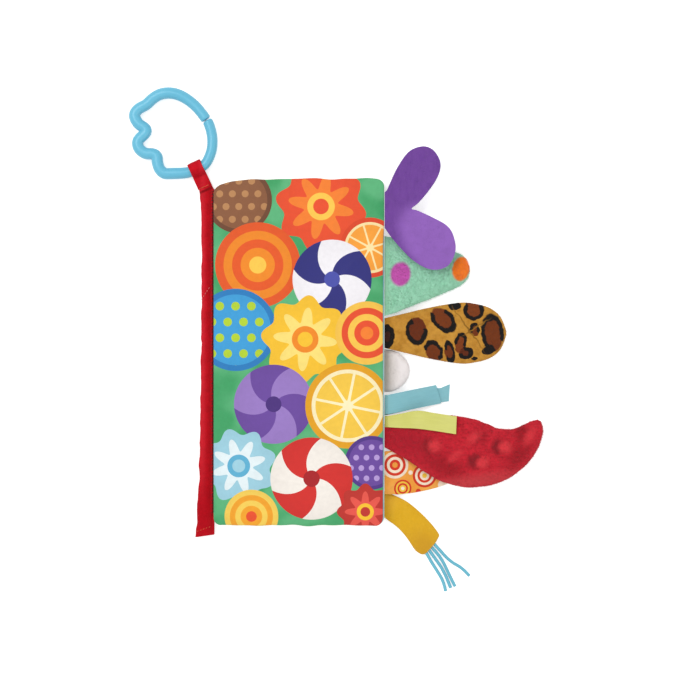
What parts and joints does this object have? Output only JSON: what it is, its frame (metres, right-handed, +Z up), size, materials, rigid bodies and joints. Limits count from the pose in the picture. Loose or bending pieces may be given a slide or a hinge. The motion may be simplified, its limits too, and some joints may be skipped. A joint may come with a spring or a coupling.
{
  "type": "crinkle cloth book",
  "caption": "Soft padded baby book of bound fabric leaves with a crinkle layer inside, textured fabric tails along the fore-edge, a hanging strap loop and a split plastic link ring.",
  "frame": {"origin": "centre of the back leaf's flat resting face", "axes": "+Z up through the closed book from its back leaf to its front leaf, +Y along the spine towards the hanging loop, +X from the spine towards the fore-edge and its tails"},
  "size_m": [0.2645, 0.3205, 0.0157],
  "materials": {
    "cover_cloth": "printed smooth polyester, satin",
    "page_cloth": "printed smooth polyester, satin",
    "wadding": "matte fibre",
    "crinkle_film": "thin crackling film",
    "red_tape": "woven binding tape",
    "ring_plastic": "moulded, soft gloss",
    "purple_felt": "matte felt",
    "mint_plush": "short plush with coloured spots",
    "leopard_plush": "short plush with leopard spots",
    "white_plush": "long soft plush",
    "red_plush": "dimple plush",
    "orange_print": "printed cotton",
    "yellow_velour": "short velour",
    "teal_ribbon": "satin ribbon",
    "lime_ribbon": "satin ribbon",
    "blue_cord": "round waxed cord"
  },
  "bodies": {
    "back_leaf": {"back_leaf_outer_panel": "cover_cloth", "back_leaf_inner_panel": "page_cloth", "back_leaf_wadding": "wadding", "back_leaf_crinkle_film": "crinkle_film", "spine_binding_tape": "red_tape", "spine_seam_core": "page_cloth", "spine_seam_ridge": "red_tape", "hanging_loop": "red_tape"},
    "middle_leaf": {"middle_leaf_back_panel": "page_cloth", "middle_leaf_front_panel": "page_cloth", "middle_leaf_wadding": "wadding", "middle_leaf_crinkle_film": "crinkle_film"},
    "front_leaf": {"front_leaf_inner_panel": "page_cloth", "front_leaf_cover_panel": "cover_cloth", "front_leaf_wadding": "wadding", "front_leaf_crinkle_film": "crinkle_film"},
    "link_ring": {"link_ring": "ring_plastic"},
    "purple_tail": {"purple_felt_tail": "purple_felt"},
    "mint_tail": {"mint_plush_tail_top": "mint_plush", "mint_plush_tail_bottom": "mint_plush", "mint_plush_tail_stuffing": "wadding"},
    "leopard_tail": {"leopard_plush_tail_top": "leopard_plush", "leopard_plush_tail_bottom": "leopard_plush", "leopard_plush_tail_stuffing": "wadding"},
    "white_tail": {"white_plush_tail_top": "white_plush", "white_plush_tail_bottom": "white_plush", "white_plush_tail_stuffing": "wadding"},
    "red_tail": {"red_plush_tail_top": "red_plush", "red_plush_tail_bottom": "red_plush", "red_plush_tail_stuffing": "wadding"},
    "orange_tail": {"orange_print_tail_top": "orange_print", "orange_print_tail_bottom": "orange_print"},
    "yellow_tail": {"yellow_velour_tail_top": "yellow_velour", "yellow_velour_tail_bottom": "yellow_velour", "tassel_cord_1": "blue_cord", "tassel_cord_2": "blue_cord", "tassel_cord_3": "blue_cord", "tassel_cord_4": "blue_cord"},
    "lower_teal_ribbon": {"teal_ribbon_lower": "teal_ribbon"},
    "upper_teal_ribbon": {"teal_ribbon_upper": "teal_ribbon"},
    "lime_ribbon": {"lime_ribbon": "lime_ribbon"}
  },
  "joints": [
    {"name": "middle_leaf_turn", "type": "hinge", "parent": "back_leaf", "child": "middle_leaf", "pos_m": [-0.0551, 0, 0.0106], "axis": [0, -1, 0], "range_deg": [0, 180]},
    {"name": "cover_turn", "type": "hinge", "parent": "middle_leaf", "child": "front_leaf", "pos_m": [-0.0551, 0, 0.0106], "axis": [0, 1, 0], "range_deg": [-180, 0]},
    {"name": "ring_swing", "type": "hinge", "parent": "back_leaf", "child": "link_ring", "pos_m": [-0.06554, 0.11685, 0.00485], "axis": [0.91, 0.4147, 0], "range_deg": [0, 25]},
    {"name": "purple_tail_lift", "type": "hinge", "parent": "front_leaf", "child": "purple_tail", "pos_m": [0.0556, 0.0914, 0.0131], "axis": [0, -1, 0], "range_deg": [0, 80]},
    {"name": "mint_tail_lift", "type": "hinge", "parent": "middle_leaf", "child": "mint_tail", "pos_m": [0.0556, 0.0483, 0.0078], "axis": [0, 1, 0], "range_deg": [-8, 0]},
    {"name": "leopard_tail_lift", "type": "hinge", "parent": "middle_leaf", "child": "leopard_tail", "pos_m": [0.0556, 0.012, 0.0078], "axis": [0, 1, 0], "range_deg": [-70, 0]},
    {"name": "white_tail_lift", "type": "hinge", "parent": "back_leaf", "child": "white_tail", "pos_m": [0.0556, -0.012, 0.0025], "axis": [0, -1, 0], "range_deg": [0, 45]},
    {"name": "lower_teal_ribbon_lift", "type": "hinge", "parent": "middle_leaf", "child": "lower_teal_ribbon", "pos_m": [0.0556, -0.0348, 0.00725], "axis": [0, 1, 0], "range_deg": [-60, 0]},
    {"name": "upper_teal_ribbon_lift", "type": "hinge", "parent": "lower_teal_ribbon", "child": "upper_teal_ribbon", "pos_m": [0.0565, -0.0334, 0.00795], "axis": [0, 1, 0], "range_deg": [-50, 0]},
    {"name": "orange_tail_lift", "type": "hinge", "parent": "middle_leaf", "child": "orange_tail", "pos_m": [0.0556, -0.0768, 0.0078], "axis": [0, 1, 0], "range_deg": [-35, 0]},
    {"name": "red_tail_lift", "type": "hinge", "parent": "orange_tail", "child": "red_tail", "pos_m": [0.0556, -0.0532, 0.0078], "axis": [0, 1, 0], "range_deg": [-40, 0]},
    {"name": "lime_ribbon_lift", "type": "hinge", "parent": "red_tail", "child": "lime_ribbon", "pos_m": [0.0565, -0.0442, 0.0089], "axis": [0, 1, 0], "range_deg": [-50, 0]},
    {"name": "yellow_tail_lift", "type": "hinge", "parent": "back_leaf", "child": "yellow_tail", "pos_m": [0.0556, -0.0975, 0.0025], "axis": [0, -1, 0], "range_deg": [0, 60]}
  ]
}
